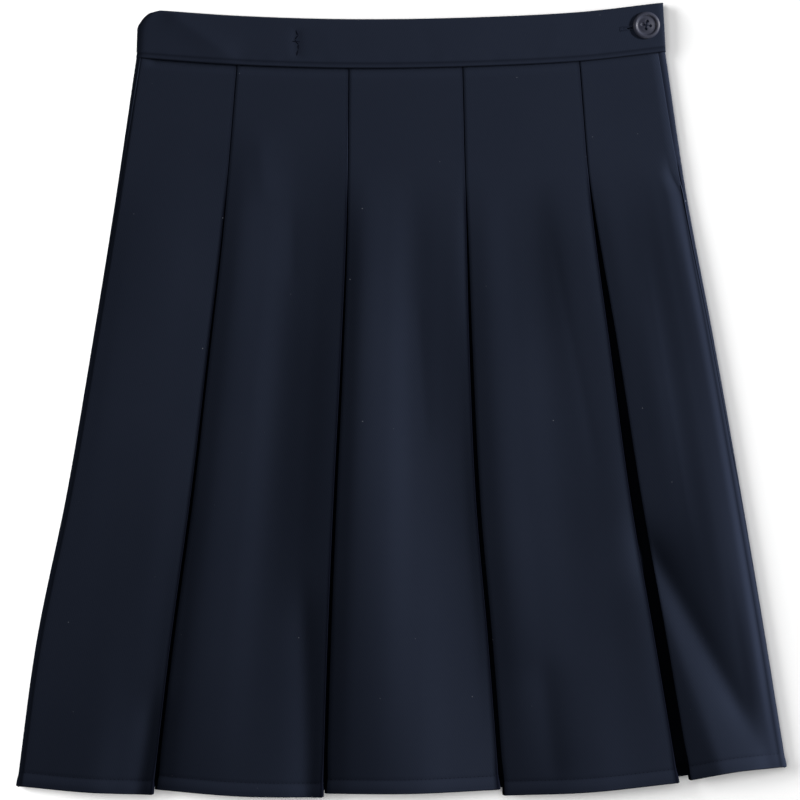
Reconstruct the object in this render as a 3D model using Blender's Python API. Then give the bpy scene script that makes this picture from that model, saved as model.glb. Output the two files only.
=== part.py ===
"""Box pleated skirt, laid flat on its back panel with its front up.

x runs across the skirt, y from the hem up to the waist and z up from the table it lies on.
Sizes are in millimetres, and new_object() turns them to metres.

The front and the back are one pleated cloth each. At a pleat the cloth turns under at the fold
that shows, runs back beneath the panel, turns again, crosses under the pleat line as the
underlay, and comes up the same way on the other side. So each of them lies in three layers.
"""

import math
from collections import namedtuple

import bmesh
import bpy
from mathutils import Matrix, Vector

MM = 0.001

# Cloth and how it lies
CLOTH = 1.0  # wall of the skirt cloth
SEAM_GAP = 0.3  # between pieces that are sewn to each other
CURL_SEAM_GAP = 0.55  # along the middle of the wall where the seam lies on a curl
SEAM_STRIP = 1.2  # least length of the front's curl from its seam
LAYER = CLOTH + SEAM_GAP  # height that each folded layer adds
HALF = CLOTH / 2
UNDERLAY_SHORTER = 2.8  # how far above the panels' hem the underlay's hem ends

# Heights of the layers' middles above the table, from the back's face up to the front's face
BACK_FACE = HALF
BACK_TURN = BACK_FACE + LAYER
BACK_UNDER = BACK_TURN + LAYER
FRONT_UNDER = BACK_UNDER + LAYER
FRONT_TURN = FRONT_UNDER + LAYER
FRONT_FACE = FRONT_TURN + LAYER

# Where the outline and the four pleat lines run, from the waist seam (share 0) to the hem (1).
# A pleat line is the fold on its left, and the fold on its right lies the pleat's gap away.
Section = namedtuple("Section", "share left pleat_1 pleat_2 pleat_3 pleat_4 right")
SECTIONS = (
    Section(0.0, -149.6, -92.8, -29.8, 34.3, 100.1, 148.8),
    Section(0.2, -161.7, -99.8, -30.9, 36.3, 106.9, 160.8),
    Section(0.4, -174.9, -109.4, -34.3, 38.3, 117.6, 176.0),
    Section(0.6, -189.0, -119.3, -38.5, 41.9, 128.5, 190.3),
    Section(0.8, -205.8, -130.5, -41.9, 48.9, 142.3, 204.0),
    Section(1.0, -217.0, -140.1, -44.4, 55.1, 155.8, 217.0),
)
# The cloth's rows, closer together where the pleats open and where the side lap ends
ROW_SHARES = (0, 0.06, 0.12, 0.16, 0.2, 0.25, 0.32, 0.4, 0.49, 0.59, 0.69, 0.79, 0.9, 1)

# The waist seam sags between the sides: places across, and their distance up
WAIST_SEAM = ((-149.6, 192.6), (-92.8, 188.6), (-29.8, 186.7), (34.3, 187.5), (100.1, 190.6), (148.8, 196.0))

# Each pleat: the gap between its folds at the hem, and how deep each side is turned under at
# the waist and at the hem.
Pleat = namedtuple("Pleat", "gap left_waist left_hem right_waist right_hem")
PLEATS = (
    Pleat(1.7, 29, 43, 29, 43),
    Pleat(1.7, 29, 43, 29, 43),
    Pleat(2.5, 29, 43, 29, 43),
    Pleat(6.5, 29, 43, 25, 33),
)
SEWN_SHARE = 0.16  # the pleats are sewn shut down to here
SEWN_GAP = 0.4  # between the two folds of a pleat that is sewn shut

# How far up the hem of each panel lies at its left, middle and right
Hem = namedtuple("Hem", "left middle right")
HEMS = (
    Hem(-217.9, -221.1, -222.2),
    Hem(-219.6, -223.2, -223.7),
    Hem(-221.8, -221.7, -219.6),
    Hem(-222.9, -220.8, -215.6),
    Hem(-214.0, -209.4, -207.0),
)

# How far each panel of the front stands above the flat stack: a row for each share down from
# the waist, with its heights at places from the panel's left fold (0) to its right fold (1).
# It bellies behind its left fold, sags in its middle and lifts again at its right fold.
ACROSS = (0, 0.15, 0.35, 0.55, 0.75, 0.92, 1)
Form = namedtuple("Form", "share left at_15 at_35 at_55 at_75 at_92 right")
FLAT = Form(0.14, 0, 0, 0, 0, 0, 0, 0)
FORMS = (
    (
        FLAT,
        Form(0.26, 0, 0.3, 0.5, 0.5, 0.3, 0.1, 0),
        Form(0.46, 0, 0.3, 0.4, 0.4, 0.3, 0.2, 0.1),
        Form(0.7, 0, 0.3, 0.7, 1.2, 1.7, 1.9, 2.1),
        Form(1.0, 0, 0.6, 1.5, 2.3, 2.5, 3.1, 3.8),
    ),
    (
        FLAT,
        Form(0.26, 0, 0.7, 0.5, 0.1, 0.5, 1.2, 1.6),
        Form(0.46, 0, 1.0, 1.1, 0.6, 1.6, 2.9, 3.4),
        Form(0.7, 0, 1.2, 1.5, 1.3, 2.2, 3.4, 4.0),
        Form(1.0, 0, 1.3, 2.5, 3.2, 3.7, 4.0, 4.6),
    ),
    (
        FLAT,
        Form(0.26, 0, 0.8, 0.6, 0.1, 0.5, 0.8, 0.7),
        Form(0.46, 0.9, 1.8, 1.4, 0.2, 0.1, 0.5, 0.9),
        Form(0.7, 0.9, 2.1, 2.3, 1.2, 0.3, 0.1, 0.6),
        Form(1.0, 0.6, 2.0, 3.3, 3.5, 2.4, 1.5, 1.0),
    ),
    (
        FLAT,
        Form(0.26, 0, 0.5, 0.5, 0.8, 1.8, 2.2, 2.2),
        Form(0.46, 0, 0.9, 0.9, 0.7, 1.1, 1.5, 1.6),
        Form(0.7, 0, 1.2, 1.3, 1.4, 2.0, 2.7, 2.7),
        Form(1.0, 0, 1.5, 3.4, 4.2, 4.2, 4.3, 4.3),
    ),
    (
        FLAT,
        Form(0.26, 0, 0.4, 0.7, 1.1, 1.6, 1.6, 0),
        Form(0.46, 0.3, 0.8, 1.4, 1.5, 1.9, 1.7, 0),
        Form(0.7, 0.6, 1.2, 2.0, 2.8, 3.3, 2.6, 0),
        Form(1.0, 1.6, 2.6, 2.9, 2.3, 1.0, 0.2, 0),
    ),
)
TURN_FOLLOWS = 0.45  # share of that height that the turned layer has away from its fold
UNDER_FOLLOWS = 0.10  # and the underlay
FRONT_SHARES = (0.08, 0.2, 0.35, 0.5, 0.65, 0.8, 0.92)  # where points lie across the front's panels
BACK_SHARES = (0.25, 0.5, 0.75)  # and the back's, which lie flat
SIDE_SLOPE = 0.15  # share of a side panel in which it comes down to the side

# Sides: the back curls round them, up to a seam on the front
FULL_CURL = (FRONT_FACE - BACK_FACE) / 2  # radius of the curl's middle line
LAPPED_CURL = (FRONT_TURN - BACK_FACE) / 2  # where the front laps over it
LEFT_CURL = ((0.0, FULL_CURL), (1.0, FULL_CURL))  # share down, radius
RIGHT_CURL = ((0.0, LAPPED_CURL), (0.17, LAPPED_CURL), (0.3, FULL_CURL), (1.0, FULL_CURL))
LEFT_SEAM = ((0.0, 60.0), (0.35, 30.0), (1.0, 10.0))  # share down, degrees up round the curl
RIGHT_SEAM = ((0.0, 74.0), (0.16, 74.0), (0.2, 58.0), (0.45, 40.0), (1.0, 15.0))
UNDERLAP = 6.0  # how far the back runs in under the front at the side opening
UNDERLAP_FOOT = 0.12  # the underlap ends here
LAP_FOOT = 0.16  # and the front's lap here
EDGE_STRIP = ((0.0, 4.2), (0.12, 3.2), (0.16, 2.5))  # strip of the back that shows beside the lap
LAP_STEP = 1.0  # between the points at the lapped edge
BACK_CURL_POINTS = 9
FRONT_CURL_POINTS = 5

# Waistband
BAND_HEIGHT = 27.8
BAND_WALL = 2.2  # two layers of cloth with interfacing between them
BAND_LEAN = 6.0  # how far its left fold leans in at the top
BAND_LEAN_DEPTH = 12.0  # the lean begins this far below the top
BAND_LEAN_REACH = 26.0  # and fades out this far from the left fold
BAND_BACK = BAND_WALL / 2  # heights of its middle
BAND_UNDERLAP = FRONT_FACE + 0.1 - BAND_WALL - SEAM_GAP
BAND_FRONT = FRONT_FACE + 0.1
BAND_UNDERLAP_LENGTH = 33.0
BAND_STATIONS = 19  # along the front, and as many along the back
BAND_TURN_STEPS = 6
BAND_BEVEL = 0.8
BAND_LEVELS = (SEAM_GAP, BAND_HEIGHT - BAND_LEAN_DEPTH, BAND_HEIGHT - 6, BAND_HEIGHT - BAND_BEVEL)

# Button with four holes, and its buttonhole
BUTTON_PLACE = (137.9, 210.8)
BUTTON_RADIUS = 7.6
BUTTON_RIM = 5.6  # inner radius of the raised rim
BUTTON_THICKNESS = 2.8
BUTTON_DISH = 0.8  # depth of the middle below the rim
BUTTON_SIDES = 28
BUTTON_HOLE_RADIUS = 0.85
BUTTON_HOLE_CIRCLE = 2.2
BUTTON_TURN = math.radians(-10)
BUTTONHOLE = (122.8, 140.6)  # places across of its two ends
BUTTONHOLE_WIDTH = 1.0
BUTTONHOLE_Y = 209.6
BUTTONHOLE_SLOPE = math.radians(6)

NAVY_CLOTH = (0.0131, 0.0168, 0.0296, 1)
NAVY_BUTTON = (0.0222, 0.0262, 0.0426, 1)


def curve_through(points):
    """The smooth curve through (place, value) points, as a function of the place."""
    places = [place for place, _ in points]
    values = [value for _, value in points]
    last = len(points) - 1
    slopes = []
    for i in range(len(points)):
        low, high = max(i - 1, 0), min(i + 1, last)
        slopes.append((values[high] - values[low]) / (places[high] - places[low]))

    def at(place):
        place = min(max(place, places[0]), places[-1])
        i = min(sum(place >= p for p in places[1:]), last - 1)
        step = places[i + 1] - places[i]
        t = (place - places[i]) / step
        start = values[i] * (1 + 2 * t) * (1 - t) ** 2 + slopes[i] * step * t * (1 - t) ** 2
        end = values[i + 1] * (3 - 2 * t) * t**2 - slopes[i + 1] * step * (1 - t) * t**2
        return start + end

    return at


LINES = [curve_through([(row.share, row[column]) for row in SECTIONS]) for column in range(1, 7)]
SEAM_HEIGHT = curve_through(WAIST_SEAM)
SEAM_ANGLE = {-1: curve_through(LEFT_SEAM), 1: curve_through(RIGHT_SEAM)}
CURL = {-1: curve_through(LEFT_CURL), 1: curve_through(RIGHT_CURL)}


def ease(t):
    """0 below 0, 1 above 1, and a soft step between."""
    t = min(max(t, 0.0), 1.0)
    return t * t * (3 - 2 * t)


def pleat_gap(pleat, share):
    """Distance between the two folds of a pleat."""
    open_share = max(0.0, (share - SEWN_SHARE) / (1 - SEWN_SHARE))
    return SEWN_GAP + (pleat.gap - SEWN_GAP) * (1 - (1 - open_share) ** 3)


def pleat_folds(index, share):
    """Places across of the left and the right fold of a pleat."""
    left = LINES[index + 1](share)
    return left, left + pleat_gap(PLEATS[index], share)


def rise(panel, across, share):
    """How far a panel of the front stands above the flat stack, across it from 0 to 1."""
    rows = FORMS[panel]
    heights = [curve_through([(row.share, row[column]) for row in rows])(share) for column in range(1, 8)]
    return curve_through(list(zip(ACROSS, heights)))(across)


def hem_of(panel, across):
    """How far up a panel's hem lies, across it from 0 to 1."""
    return curve_through(list(zip((0, 0.5, 1), HEMS[panel])))(across)


def side_curl(side, share, along):
    """Place across and height on a side's curl, at a distance along it from the table up and in."""
    radius = CURL[side](share)
    middle = LINES[0 if side < 0 else 5](share) - side * (radius + HALF)
    if along > math.pi * radius:
        return middle - side * (along - math.pi * radius), BACK_FACE + 2 * radius
    angle = along / radius - math.pi / 2
    return middle + side * radius * math.cos(angle), BACK_FACE + radius + radius * math.sin(angle)


def back_curl_length(side, share):
    """How far along a side's curl the back reaches."""
    radius = CURL[side](share)
    if side > 0 and share <= UNDERLAP_FOOT:
        return math.pi * radius + UNDERLAP
    return radius * (math.pi / 2 + math.radians(SEAM_ANGLE[side](share)))


def back_side(side, share):
    """The back's points round one side, from the table up."""
    length = back_curl_length(side, share)
    steps = BACK_CURL_POINTS - 1
    return [side_curl(side, share, length * i / steps) for i in range(BACK_CURL_POINTS)]


def front_side(side, share):
    """The front's points at one side, from its panel out to its edge."""
    steps = FRONT_CURL_POINTS - 1
    if side > 0 and share <= LAP_FOOT:
        edge = LINES[5](share) - curve_through(EDGE_STRIP)(share)
        return [(edge - LAP_STEP * (steps - i), FRONT_FACE) for i in range(FRONT_CURL_POINTS)]
    end = back_curl_length(side, share) + CURL_SEAM_GAP
    start = max(math.pi * CURL[side](share), end + SEAM_STRIP)
    return [side_curl(side, share, start + (end - start) * i / steps) for i in range(FRONT_CURL_POINTS)]


def fold(edge, side, from_height, to_height):
    """Three points of a fold whose outside reaches edge, bulging towards side (1 right, -1 left)."""
    middle = edge - side * HALF * math.sqrt(2)
    radius = LAYER / 2
    return [
        (middle - side * radius, from_height),
        (middle, (from_height + to_height) / 2),
        (middle - side * radius, to_height),
    ]


Cloth = namedtuple("Cloth", "face turn under rises shares side_points")
FRONT = Cloth(FRONT_FACE, FRONT_TURN, FRONT_UNDER, 1, FRONT_SHARES, front_side)
BACK = Cloth(BACK_FACE, BACK_TURN, BACK_UNDER, 0, BACK_SHARES, back_side)


def face_ends(cloth, panel, share):
    """Where a panel's face starts and ends, as (place across, height) with the cloth lying flat."""
    if panel == 0:
        start = cloth.side_points(-1, share)[0]
    else:
        start = fold(pleat_folds(panel - 1, share)[1], -1, cloth.face, cloth.turn)[0]
    if panel == len(HEMS) - 1:
        end = cloth.side_points(1, share)[0]
    else:
        end = fold(pleat_folds(panel, share)[0], 1, cloth.face, cloth.turn)[0]
    return start, end


def across_panel(cloth, panel, share, place):
    """A place across the skirt as a share of a panel, from 0 at its left to 1 at its right."""
    (left, _), (right, _) = face_ends(cloth, panel, share)
    return (place - left) / (right - left)


def face_point(cloth, panel, share, across):
    """A point of a panel's face between its ends, as (place across, height)."""
    (left, left_height), (right, right_height) = face_ends(cloth, panel, share)
    if panel == 0:
        blend = ease(across / SIDE_SLOPE)
    elif panel == len(HEMS) - 1:
        blend = ease((across - 1 + SIDE_SLOPE) / SIDE_SLOPE)
    else:
        blend = across
    flat = left_height + (right_height - left_height) * blend
    return left + (right - left) * across, flat + cloth.rises * rise(panel, across, share)


def pleat_points(cloth, index, share):
    """The cloth's middle line through one pleat, as (place across, height, hem)."""
    pleat = PLEATS[index]
    left_edge, right_edge = pleat_folds(index, share)
    left_depth = pleat.left_waist + (pleat.left_hem - pleat.left_waist) * share
    right_depth = pleat.right_waist + (pleat.right_hem - pleat.right_waist) * share

    def side_of(side, panel, edge, depth):
        def lift(place, follows):
            across = across_panel(cloth, panel, share, place)
            return cloth.rises * follows * rise(panel, min(max(across, 0), 1), share)

        inner, halfway = edge - side * depth, edge - side * depth / 2
        at_edge = lift(edge, 1)
        outer_fold = fold(edge, side, cloth.face + at_edge, cloth.turn + at_edge)
        turned = cloth.turn + lift(halfway, TURN_FOLLOWS)
        turn, under = cloth.turn + lift(inner, TURN_FOLLOWS), cloth.under + lift(inner, UNDER_FOLLOWS)
        inner_fold = fold(inner, -side, turn, under)
        hem = HEMS[panel].right if side > 0 else HEMS[panel].left
        inner_hem = hem_of(panel, across_panel(cloth, panel, share, inner)) + UNDERLAY_SHORTER
        points = [(*point, hem) for point in outer_fold]
        points += [(halfway, turned, (hem + inner_hem) / 2)]
        points += [(*point, inner_hem) for point in inner_fold]
        return points

    going_under = side_of(1, index, left_edge, left_depth)
    coming_up = side_of(-1, index + 1, right_edge, right_depth)
    middle_hem = (HEMS[index].right + HEMS[index + 1].left) / 2 + UNDERLAY_SHORTER
    return going_under + [((left_edge + right_edge) / 2, cloth.under, middle_hem)] + coming_up[::-1]


def section(cloth, share):
    """The cloth's middle line across the whole skirt, as (place across, height, hem)."""
    left_side, right_side = cloth.side_points(-1, share), cloth.side_points(1, share)
    points = [(*point, HEMS[0].left) for point in reversed(left_side)]
    for panel in range(len(HEMS)):
        points += [(*face_point(cloth, panel, share, a), hem_of(panel, a)) for a in cloth.shares]
        if panel < len(PLEATS):
            points += pleat_points(cloth, panel, share)
    return points + [(*point, HEMS[-1].right) for point in right_side]


def wall_offsets(line):
    """For each point of a line across, the (across, up) step from its middle to its outer face."""
    sides = []
    for first, second in zip(line, line[1:]):
        along = (Vector(second) - Vector(first)).normalized()
        sides.append(Vector((-along.y, along.x)))
    offsets = []
    for before, after in zip(sides[:1] + sides, sides + sides[-1:]):
        normal = (before + after).normalized()
        offsets.append(normal / max(normal.dot(before), 0.5))
    return offsets


def pleated_cloth(cloth):
    """Outer and inner rows of points of the front or the back, from the waist to the hem."""
    waists = [SEAM_HEIGHT(place) for place, _, _ in section(cloth, 0)]
    outer, inner = [], []
    for share in ROW_SHARES:
        points = section(cloth, share)
        steps = wall_offsets([(place, height) for place, height, _ in points])
        ups = [waist + (hem - waist) * share for waist, (_, _, hem) in zip(waists, points)]
        for rows, sign in ((outer, HALF), (inner, -HALF)):
            rows.append(
                [
                    (place + sign * step.x, up, height + sign * step.y)
                    for (place, height, _), up, step in zip(points, ups, steps)
                ]
            )
    return outer, inner


def band_point(place, up, height):
    """A point on the waistband, up being its distance above the waist seam, square to it."""
    slope = math.atan(SEAM_HEIGHT(place + 1) / 2 - SEAM_HEIGHT(place - 1) / 2)
    return place - up * math.sin(slope), SEAM_HEIGHT(place) + up * math.cos(slope), height


def half_turn(centre, height, radius, side):
    """Points of a half turn towards side, without its ends, from the top down."""
    angles = [math.pi * (0.5 - i / BAND_TURN_STEPS) for i in range(1, BAND_TURN_STEPS)]
    return [(centre + side * radius * math.cos(a), height + radius * math.sin(a)) for a in angles]


def band_path():
    """The waistband's middle line: front, left fold, back, right fold and underlap."""
    left, right = LINES[0](0), LINES[5](0)
    left_radius = (BAND_FRONT - BAND_BACK) / 2
    right_radius = (BAND_UNDERLAP - BAND_BACK) / 2
    left_centre = left + left_radius + BAND_WALL / 2
    right_centre = right - right_radius - BAND_WALL / 2
    steps = BAND_STATIONS - 1
    front = [(right + (left_centre - right) * i / steps, BAND_FRONT) for i in range(BAND_STATIONS)]
    back = [(left_centre + (right_centre - left_centre) * i / steps, BAND_BACK) for i in range(BAND_STATIONS)]
    underlap = [(right_centre - BAND_UNDERLAP_LENGTH * i / 4, BAND_UNDERLAP) for i in range(5)]
    left_turn = half_turn(left_centre, (BAND_FRONT + BAND_BACK) / 2, left_radius, -1)
    right_turn = half_turn(right_centre, (BAND_UNDERLAP + BAND_BACK) / 2, right_radius, 1)
    return front + left_turn + back + right_turn[::-1] + underlap


def band_lean(from_left, up):
    """How far the left fold's lean moves a point of the waistband to the right."""
    high = max(0.0, 1 - (BAND_HEIGHT - up) / BAND_LEAN_DEPTH)
    return BAND_LEAN * high**2 * (1 - ease(from_left / BAND_LEAN_REACH))


def band_rings():
    """The waistband's cross-sections along its path, each with a bevelled top edge."""
    half = BAND_WALL / 2
    outer = [(half, up) for up in BAND_LEVELS] + [(half - BAND_BEVEL, BAND_HEIGHT)]
    profile = outer + [(-out, up) for out, up in reversed(outer)]
    path = band_path()
    rings = []
    for (place, height), step in zip(path, wall_offsets(path)):
        from_left = place - LINES[0](0)
        rings.append(
            [
                band_point(place + band_lean(from_left, up) + out * step.x, up, height + out * step.y)
                for out, up in profile
            ]
        )
    return rings


def add_rows(mesh, rows):
    """Vertices of rows of points, as a list of rows."""
    return [[mesh.verts.new(Vector(point) * MM) for point in row] for row in rows]


def join_rows(mesh, first, second):
    """Quads between two rows of vertices."""
    for i in range(len(first) - 1):
        mesh.faces.new((first[i], first[i + 1], second[i + 1], second[i]))


def cloth_mesh(outer_rows, inner_rows):
    """A closed wall between an outer and an inner sheet."""
    mesh = bmesh.new()
    outer, inner = add_rows(mesh, outer_rows), add_rows(mesh, inner_rows)
    for sheet in (outer, inner):
        for first, second in zip(sheet, sheet[1:]):
            join_rows(mesh, first, second)
    join_rows(mesh, outer[0], inner[0])
    join_rows(mesh, outer[-1], inner[-1])
    for end in (0, -1):
        join_rows(mesh, [row[end] for row in outer], [row[end] for row in inner])
    return mesh


def lofted_mesh(rings):
    """A closed body through closed rings, with its two ends filled."""
    mesh = bmesh.new()
    rows = add_rows(mesh, rings)
    for first, second in zip(rows, rows[1:]):
        join_rows(mesh, first + first[:1], second + second[:1])
    mesh.faces.new(rows[0])
    mesh.faces.new(rows[-1])
    return mesh


def material(name, colour, roughness):
    made = bpy.data.materials.new(name)
    made.use_nodes = True
    shader = made.node_tree.nodes["Principled BSDF"]
    shader.inputs["Base Color"].default_value = colour
    shader.inputs["Roughness"].default_value = roughness
    return made


def new_object(name, mesh, finish):
    """A linked object made from a bmesh whose faces are turned outwards."""
    bmesh.ops.recalc_face_normals(mesh, faces=mesh.faces)
    data = bpy.data.meshes.new(name)
    mesh.to_mesh(data)
    mesh.free()
    data.materials.append(finish)
    data.shade_smooth()
    data.set_sharp_from_angle(angle=math.radians(40))
    made = bpy.data.objects.new(name, data)
    bpy.context.scene.collection.objects.link(made)
    return made


def cut(body, cutter):
    """Cuts the cutter's shape out of the body, and hides the cutter."""
    cutter.hide_render = True
    cutter.display_type = "WIRE"
    boolean = body.modifiers.new(cutter.name, "BOOLEAN")
    boolean.operation = "DIFFERENCE"
    boolean.solver = "EXACT"
    boolean.object = cutter


def button_mesh():
    """The button turned from its profile: flat back, rounded rim and a shallow dish."""
    bottom = BAND_FRONT + BAND_WALL / 2 + SEAM_GAP
    top = bottom + BUTTON_THICKNESS
    profile = (
        (0, bottom),
        (BUTTON_RADIUS - 1.0, bottom),
        (BUTTON_RADIUS, bottom + 0.9),
        (BUTTON_RADIUS, top - 0.8),
        (BUTTON_RADIUS - 0.6, top - 0.1),
        (BUTTON_RIM + 0.6, top),
        (BUTTON_RIM, top - BUTTON_DISH * 0.7),
        (BUTTON_RIM - 0.9, top - BUTTON_DISH),
        (0, top - BUTTON_DISH - 0.3),
    )
    mesh = bmesh.new()
    line = [mesh.verts.new(Vector((BUTTON_PLACE[0] + r, BUTTON_PLACE[1], z)) * MM) for r, z in profile]
    edges = [mesh.edges.new(pair) for pair in zip(line, line[1:])]
    bmesh.ops.spin(
        mesh,
        geom=line + edges,
        cent=Vector((*BUTTON_PLACE, 0)) * MM,
        axis=(0, 0, 1),
        angle=math.tau,
        steps=BUTTON_SIDES,
        use_merge=True,
    )
    bmesh.ops.remove_doubles(mesh, verts=mesh.verts, dist=0.01 * MM)
    return mesh


def cutter_mesh(maker, middle, extent, turn=0.0, **shape):
    """A primitive scaled to an extent and turned about the upright axis, at a middle."""
    mesh = bmesh.new()
    place = Matrix.Translation(Vector(middle) * MM) @ Matrix.Rotation(turn, 4, "Z")
    maker(mesh, matrix=place @ Matrix.Diagonal((*(Vector(extent) * MM), 1)), **shape)
    return mesh


def build_skirt():
    cloth = material("navy_suiting", NAVY_CLOTH, 0.8)
    plastic = material("navy_button_plastic", NAVY_BUTTON, 0.35)
    new_object("front_panel", cloth_mesh(*pleated_cloth(FRONT)), cloth)
    new_object("back_panel", cloth_mesh(*pleated_cloth(BACK)), cloth)

    band = new_object("waistband", lofted_mesh(band_rings()), cloth)
    middle = (sum(BUTTONHOLE) / 2, BUTTONHOLE_Y, BAND_FRONT)
    size = (BUTTONHOLE[1] - BUTTONHOLE[0], BUTTONHOLE_WIDTH, BAND_WALL + SEAM_GAP)
    slit = cutter_mesh(bmesh.ops.create_cube, middle, size, BUTTONHOLE_SLOPE, size=1.0)
    cut(band, new_object("cut_buttonhole", slit, cloth))

    button = new_object("button", button_mesh(), plastic)
    for i in range(4):
        angle = BUTTON_TURN + math.pi / 2 * i
        middle = (
            BUTTON_PLACE[0] + BUTTON_HOLE_CIRCLE * math.cos(angle),
            BUTTON_PLACE[1] + BUTTON_HOLE_CIRCLE * math.sin(angle),
            BAND_FRONT + BAND_WALL / 2 + BUTTON_THICKNESS / 2,
        )
        hole = cutter_mesh(
            bmesh.ops.create_cone,
            middle,
            (1, 1, 2 * BUTTON_THICKNESS),
            angle,
            cap_ends=True,
            segments=10,
            radius1=BUTTON_HOLE_RADIUS,
            radius2=BUTTON_HOLE_RADIUS,
            depth=1.0,
        )
        cut(button, new_object(f"cut_button_hole_{i + 1}", hole, plastic))


for old in list(bpy.data.objects):
    bpy.data.objects.remove(old)
build_skirt()
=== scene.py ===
"""Box pleated skirt in navy gabardine, laid flat on a white table and seen from straight above.

x runs across the skirt, y from the hem up to the waist and z up from the table. Sizes are in
millimetres, and new_piece() turns them to metres.

The front and the back are one pleated cloth each. At a pleat the cloth turns under at the fold
that shows, runs back beneath the panel, turns again, crosses under the pleat line as the
underlay, and comes up the same way on the other side. The cloth lies on the outer face of its
solid, and its thickness goes inwards from there.
"""

import math
from collections import namedtuple
from functools import lru_cache

import bmesh
import bpy
from mathutils import Matrix, Vector


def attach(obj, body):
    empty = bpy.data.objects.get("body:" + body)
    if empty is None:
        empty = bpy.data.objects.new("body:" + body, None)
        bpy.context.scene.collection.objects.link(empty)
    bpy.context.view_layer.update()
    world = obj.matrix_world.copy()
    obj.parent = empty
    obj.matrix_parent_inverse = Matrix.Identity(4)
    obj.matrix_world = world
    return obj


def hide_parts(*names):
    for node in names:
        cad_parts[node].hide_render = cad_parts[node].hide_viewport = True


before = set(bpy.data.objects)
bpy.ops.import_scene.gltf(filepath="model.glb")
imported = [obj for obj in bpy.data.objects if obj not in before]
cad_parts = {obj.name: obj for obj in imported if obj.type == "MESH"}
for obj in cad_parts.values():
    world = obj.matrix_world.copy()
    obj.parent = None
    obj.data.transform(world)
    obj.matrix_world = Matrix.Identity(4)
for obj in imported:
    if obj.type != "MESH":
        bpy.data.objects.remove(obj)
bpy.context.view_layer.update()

MM = 0.001

# Camera straight above: this much of the table's width is in view at the height of the front
VIEW_WIDTH = 450.6
VIEW_MIDDLE = (-0.85, -0.05)
LENS = 200.0
SENSOR = 36.0

# The solids' walls, and how they lie on each other
WALL = 1.0
HALF = WALL / 2
SEAM_GAP = 0.3
LAYER = WALL + SEAM_GAP  # height that each folded layer adds
UNDERLAY_SHORTER = 2.8  # how far above the panels' hem the underlay's hem ends
BACK_FACE = HALF
BACK_TURN = BACK_FACE + LAYER
BACK_UNDER = BACK_TURN + LAYER
FRONT_UNDER = BACK_UNDER + LAYER
FRONT_TURN = FRONT_UNDER + LAYER
FRONT_FACE = FRONT_TURN + LAYER

# The cloth itself
CLOTH = 0.38  # thickness
LENGTH = 415.0  # from the waist seam to the hem
HEM_DEPTH = 9.5  # cloth turned up inside the hem
HEM_RADIUS = 0.45  # of the turn
HEM_STITCH = 8.2  # height of the hem's stitches above it
HEM_STITCH_STEP = 2.3
HEM_STITCH_LENGTH = 1.1
HEM_STITCH_RADIUS = 0.2
HEM_DENT = 0.22  # the stitches pull the cloth in by this
HEM_DENT_WIDTH = 1.1
HEM_EDGE = 0.15  # the turned-up edge inside lifts the cloth by this
HEM_EDGE_SLOPE = 3.0
HEM_SWELL = 0.5  # and below the stitches it stands this much further out
HEM_SWELL_SLOPE = 6.0
SEAM_TUCK = 0.9  # how far the cloth runs up into the waistband
WAIST_DIP = 6.0  # it dips towards the waist seam over this length
FOLD_RADIUS = 0.42  # of the pleats' pressed folds
HEM_FOLD_RADIUS = 0.95  # and where the hem is turned up in them
FULLER_ABOVE = 14.0  # the folds grow fuller this far above the turned-up hem
FOLD_SETTLE = 13.0  # the layer beneath comes down to its place this far from the fold
INNER_FOLD_RADIUS = 0.3
EDGE_RADIUS = 0.4  # of the cloth turned in at its side seams and at the lap
EDGE_TURN_POINTS = 4
EDGE_BACK_POINTS = 3

# Where the outline and the four pleat lines run, from the waist seam (share 0) to the hem (1).
# A pleat line is the fold on its left, and the fold on its right lies the pleat's gap away.
Section = namedtuple("Section", "share left pleat_1 pleat_2 pleat_3 pleat_4 right")
SECTIONS = (
    Section(0.0, -149.6, -92.8, -29.8, 34.3, 100.1, 148.8),
    Section(0.2, -161.7, -99.8, -30.9, 36.3, 106.9, 160.8),
    Section(0.4, -174.9, -109.4, -34.3, 38.3, 117.6, 176.0),
    Section(0.6, -189.0, -119.3, -38.5, 41.9, 128.5, 190.3),
    Section(0.8, -205.8, -130.5, -41.9, 48.9, 142.3, 204.0),
    Section(1.0, -217.0, -140.1, -44.4, 55.1, 155.8, 217.0),
)
PANELS = 5

# The waist seam sags between the sides: places across, and their distance up
WAIST_SEAM = (
    *((-149.6, 192.6), (-92.8, 188.6), (-29.8, 186.7)),
    *((34.3, 187.5), (100.1, 190.6), (148.8, 196.0)),
)

# Each pleat: the gap between its folds at the hem, and how deep each side is turned under at
# the waist and at the hem
Pleat = namedtuple("Pleat", "gap left_waist left_hem right_waist right_hem")
PLEATS = (
    Pleat(1.7, 29, 43, 29, 43),
    Pleat(1.7, 29, 43, 29, 43),
    Pleat(2.5, 29, 43, 29, 43),
    Pleat(6.5, 29, 43, 25, 33),
)
SEWN_SHARE = 0.16  # the pleats are sewn shut down to here
SEWN_GAP = 0.1  # between the two folds of a pleat that is sewn shut

# How far up the hem of each panel lies at its left, middle and right
Hem = namedtuple("Hem", "left middle right")
HEMS = (
    Hem(-217.9, -221.1, -222.2),
    Hem(-219.6, -223.2, -223.7),
    Hem(-221.8, -221.7, -219.6),
    Hem(-222.9, -220.8, -215.6),
    Hem(-214.0, -209.4, -207.0),
)

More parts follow.
